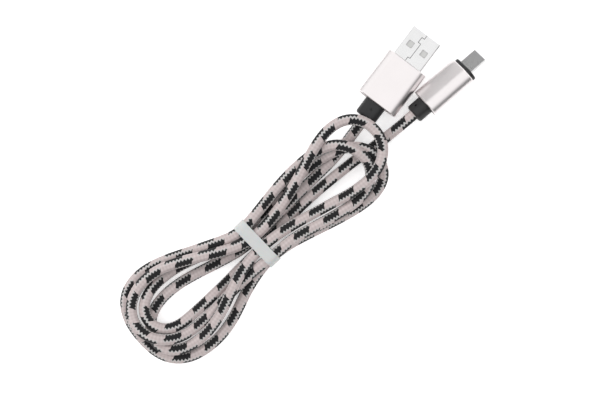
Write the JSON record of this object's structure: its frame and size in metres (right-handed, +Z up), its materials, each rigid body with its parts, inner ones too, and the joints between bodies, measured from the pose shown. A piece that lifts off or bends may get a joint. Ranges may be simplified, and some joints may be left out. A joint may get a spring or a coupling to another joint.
{
  "type": "charging cable",
  "caption": "Braided charging cable with a USB-A plug and a micro-USB plug in aluminium sleeves, wound into a flat two-lobed hank and held by a flat tie.",
  "frame": {"origin": "centre of the flat underside of the USB-A plug's sleeve, on the surface the cable lies on", "axes": "+X out of the USB-A plug's mouth, +Z up from the surface, +Y across that plug"},
  "size_m": [0.1582, 0.0569, 0.012],
  "materials": {
    "braid": "braided textile, pale pinkish grey with black and grey flecks",
    "tie": "satin, slightly translucent",
    "gold": "gold plated",
    "black_moulding": "matt moulded",
    "crimp_steel": "tinned",
    "jacket": "matt",
    "insulator_black": "moulded",
    "spring_steel": "rolled spring steel",
    "steel_shell": "bright nickel plate",
    "aluminium": "fine satin, anodised pale pink",
    "wire_white": "satin",
    "wire_green": "satin",
    "wire_black": "satin",
    "wire_red": "satin",
    "core_pale": "moulded",
    "insulator_pale": "moulded"
  },
  "bodies": {
    "cable": {"cable_hank": "braid", "cable_lead_micro": "braid", "cable_lead_usb_a": "braid", "hank_tie": "tie", "micro_contact_data_minus": "gold", "micro_contact_data_plus": "gold", "micro_contact_ground": "gold", "micro_contact_id": "gold", "micro_contact_vbus": "gold", "micro_core": "black_moulding", "micro_crimp": "crimp_steel", "micro_front_ring": "black_moulding", "micro_inner_jacket": "jacket", "micro_insulator": "insulator_black", "micro_shell": "steel_shell", "micro_sleeve": "aluminium", "micro_strain_relief": "black_moulding", "micro_wire_data_minus": "wire_white", "micro_wire_data_plus": "wire_green", "micro_wire_ground": "wire_black", "micro_wire_vbus": "wire_red", "usb_a_contact_data_minus": "gold", "usb_a_contact_data_plus": "gold", "usb_a_contact_ground": "gold", "usb_a_contact_vbus": "gold", "usb_a_core": "core_pale", "usb_a_crimp": "crimp_steel", "usb_a_inner_jacket": "jacket", "usb_a_insulator": "insulator_pale", "usb_a_shell": "steel_shell", "usb_a_sleeve": "aluminium", "usb_a_strain_relief": "black_moulding", "usb_a_wire_data_minus": "wire_white", "usb_a_wire_data_plus": "wire_green", "usb_a_wire_ground": "wire_black", "usb_a_wire_vbus": "wire_red"},
    "latch_left": {"micro_latch_left": "spring_steel"},
    "latch_right": {"micro_latch_right": "spring_steel"}
  },
  "joints": [
    {"name": "latch_left_flex", "type": "hinge", "parent": "cable", "child": "latch_left", "pos_m": [0.02024, -0.01726, 0.00396], "axis": [-0.1507, -0.7277, 0.6691], "range_deg": [0, 3.4], "stiffness_Nm_per_rad": 0.04},
    {"name": "latch_right_flex", "type": "hinge", "parent": "cable", "child": "latch_right", "pos_m": [0.01967, -0.02003, 0.00651], "axis": [-0.1507, -0.7277, 0.6691], "range_deg": [0, 3.4], "stiffness_Nm_per_rad": 0.04}
  ]
}
